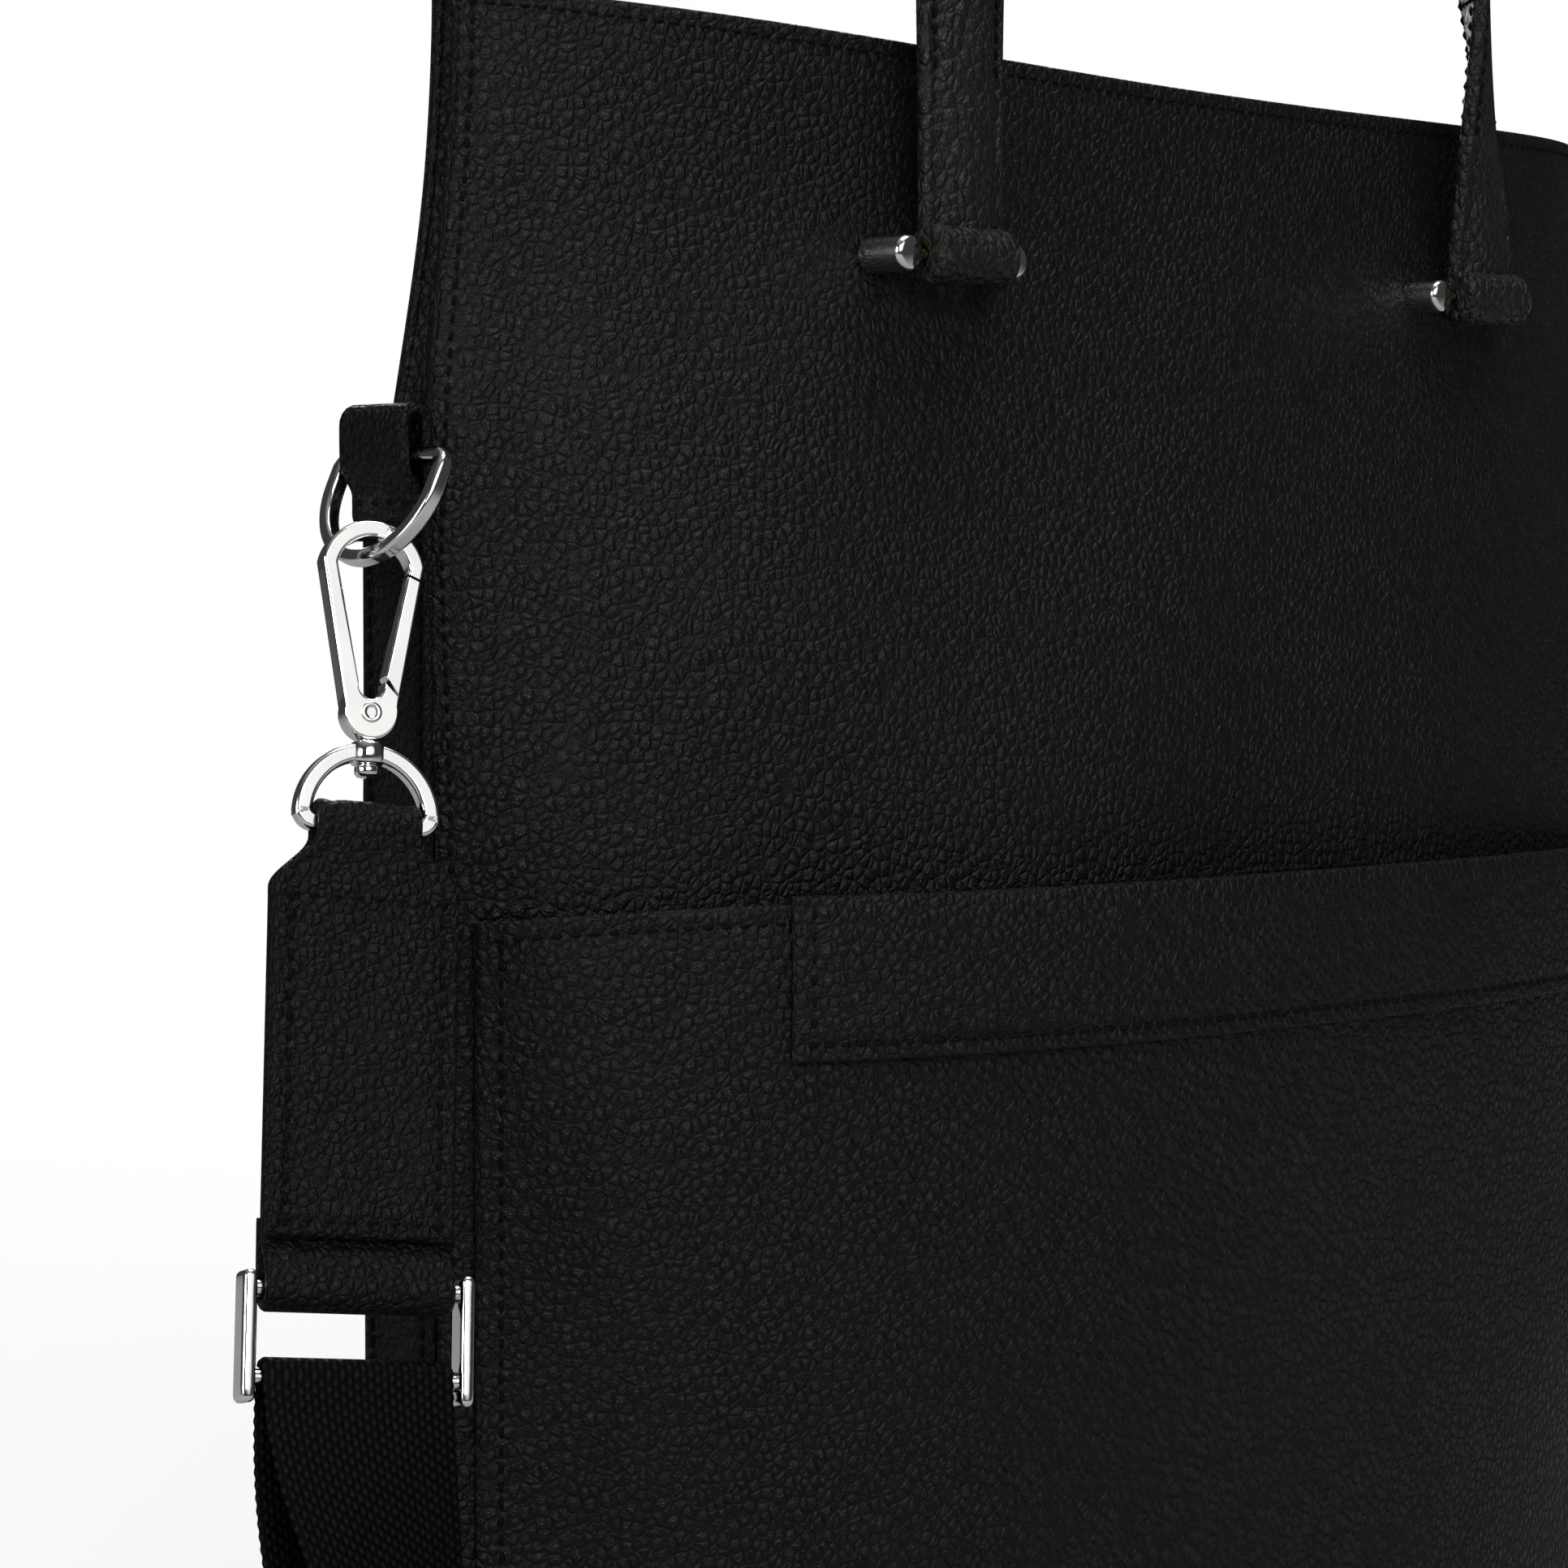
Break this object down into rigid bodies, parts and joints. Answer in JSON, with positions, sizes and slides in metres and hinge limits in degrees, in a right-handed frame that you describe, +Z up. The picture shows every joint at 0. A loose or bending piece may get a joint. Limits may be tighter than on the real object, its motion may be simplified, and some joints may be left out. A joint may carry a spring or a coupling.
{
  "type": "diaper bag",
  "caption": "Soft leather tote-style diaper bag with folding carry handles, a front slip pocket and a webbing shoulder strap on swivel snap hooks.",
  "frame": {"origin": "centre of the base, on the surface the bag stands on", "axes": "+X along the width, the front faces -Y, +Z up"},
  "size_m": [0.4494, 0.1922, 0.4695],
  "materials": {
    "leather": "pebbled, semi-matt",
    "lining_cloth": "fine twill",
    "board": "matt",
    "chrome": "polished",
    "plate_steel": "plain",
    "brass": "polished",
    "webbing": "woven"
  },
  "bodies": {
    "root": {"front_panel": "leather", "back_panel": "leather", "left_gusset": "leather", "right_gusset": "leather", "base_panel": "leather", "front_facing": "leather", "back_facing": "leather", "front_pocket": "leather", "pocket_band": "leather", "left_side_strip": "leather", "right_side_strip": "leather", "lining": "lining_cloth", "inner_pocket": "lining_cloth", "base_board": "board", "magnet_front": "chrome", "magnet_back": "chrome", "front_handle_posts": "chrome", "back_handle_posts": "chrome", "front_backplates": "plate_steel", "back_backplates": "plate_steel", "front_post_nuts": "plate_steel", "back_post_nuts": "plate_steel", "front_handle_axles": "brass", "back_handle_axles": "brass", "left_webbing_run": "webbing", "back_webbing_run": "webbing", "right_webbing_run": "webbing"},
    "front_handle": {"front_handle": "leather"},
    "back_handle": {"back_handle": "leather"},
    "strap_adjuster": {"strap_adjuster": "chrome"},
    "left_d_ring": {"left_d_ring": "chrome"},
    "left_strap_end": {"left_strap_ring": "chrome", "left_strap_tab": "leather", "left_slider": "chrome", "left_webbing_drop": "webbing"},
    "left_hook": {"left_hook": "chrome", "left_gate_pin": "chrome", "left_gate_spring": "plate_steel", "left_swivel_post": "chrome"},
    "left_gate": {"left_gate": "chrome"},
    "right_d_ring": {"right_d_ring": "chrome"},
    "right_strap_end": {"right_strap_ring": "chrome", "right_strap_tab": "leather", "right_slider": "chrome", "right_webbing_drop": "webbing"},
    "right_hook": {"right_hook": "chrome", "right_gate_pin": "chrome", "right_gate_spring": "plate_steel", "right_swivel_post": "chrome"},
    "right_gate": {"right_gate": "chrome"}
  },
  "joints": [
    {"name": "front_handle_fold", "type": "hinge", "parent": "root", "child": "front_handle", "pos_m": [0, -0.03897, 0.281], "axis": [1, 0, 0], "range_deg": [0, 155]},
    {"name": "back_handle_fold", "type": "hinge", "parent": "root", "child": "back_handle", "pos_m": [0, 0.03897, 0.281], "axis": [-1, 0, 0], "range_deg": [-160, 4]},
    {"name": "left_strap_swing", "type": "hinge", "parent": "root", "child": "left_strap_end", "pos_m": [-0.17515, 0, 0.245], "axis": [0, 1, 0], "range_deg": [0, 12]},
    {"name": "left_d_ring_swing", "type": "hinge", "parent": "root", "child": "left_d_ring", "pos_m": [-0.17515, 0, 0.245], "axis": [0, 1, 0], "range_deg": [0, 12]},
    {"name": "left_hook_swivel", "type": "hinge", "parent": "left_strap_end", "child": "left_hook", "pos_m": [-0.18874, -0.01268, 0.19514], "axis": [0.1711, 0.1711, 0.9703], "range_deg": [-5, 30]},
    {"name": "left_gate_open", "type": "hinge", "parent": "left_hook", "child": "left_gate", "pos_m": [-0.18737, -0.01131, 0.2029], "axis": [-0.3553, -0.9078, 0.2227], "range_deg": [0, 17], "stiffness_Nm_per_rad": 0.02, "springref_deg": -5.73},
    {"name": "right_strap_swing", "type": "hinge", "parent": "root", "child": "right_strap_end", "pos_m": [0.17515, 0, 0.245], "axis": [0, -1, 0], "range_deg": [0, 12]},
    {"name": "right_d_ring_swing", "type": "hinge", "parent": "root", "child": "right_d_ring", "pos_m": [0.17515, 0, 0.245], "axis": [0, -1, 0], "range_deg": [0, 12]},
    {"name": "right_hook_swivel", "type": "hinge", "parent": "right_strap_end", "child": "right_hook", "pos_m": [0.18874, -0.01268, 0.19514], "axis": [0.1711, -0.1711, -0.9703], "range_deg": [-5, 30]},
    {"name": "right_gate_open", "type": "hinge", "parent": "right_hook", "child": "right_gate", "pos_m": [0.18737, -0.01131, 0.2029], "axis": [-0.3553, 0.9078, -0.2227], "range_deg": [0, 17], "stiffness_Nm_per_rad": 0.02, "springref_deg": -5.73},
    {"name": "adjuster_slide", "type": "slide", "parent": "root", "child": "strap_adjuster", "axis": [1, 0, 0], "range_m": [-0.045, 0.045]}
  ],
  "couplings": [
    {"joint": "left_d_ring_swing", "follows": "left_strap_swing", "ratio": 1},
    {"joint": "right_d_ring_swing", "follows": "right_strap_swing", "ratio": 1}
  ]
}
